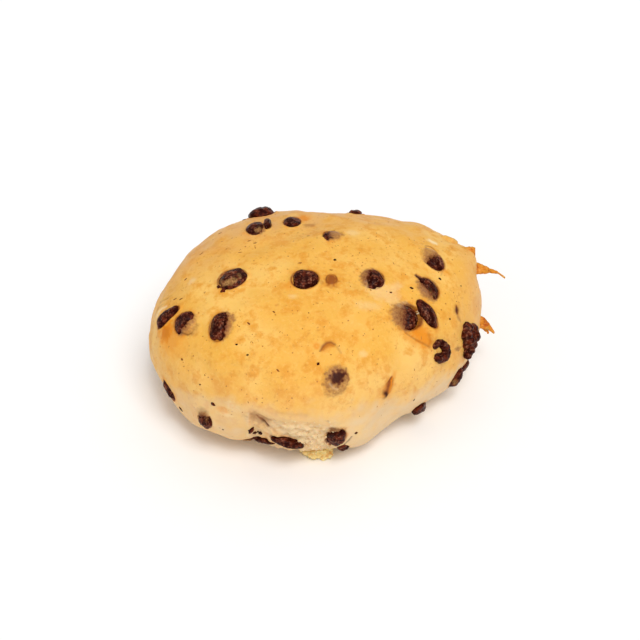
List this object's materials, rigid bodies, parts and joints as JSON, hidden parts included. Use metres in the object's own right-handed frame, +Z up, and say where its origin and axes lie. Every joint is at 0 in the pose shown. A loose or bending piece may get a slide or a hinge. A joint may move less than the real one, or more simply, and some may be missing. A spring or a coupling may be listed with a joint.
{
  "type": "chocolate chip bun",
  "caption": "Soft round sweet bun with a thin golden crust, chocolate chips baked into it, torn crust flakes at one side and a flat base to rest on.",
  "frame": {"origin": "on the flat base, under the middle of the dough body", "axes": "+Z up, front with the torn crumb towards -Y, +X along the longest way across, towards the crust flakes"},
  "size_m": [0.1053, 0.0866, 0.0487],
  "materials": {
    "crust": "thin golden baked crust with a soft satin sheen, paler towards the base",
    "chocolate": "dark baked chocolate, half glossy"
  },
  "bodies": {
    "root": {"bun": "crust"}
  },
  "joints": []
}
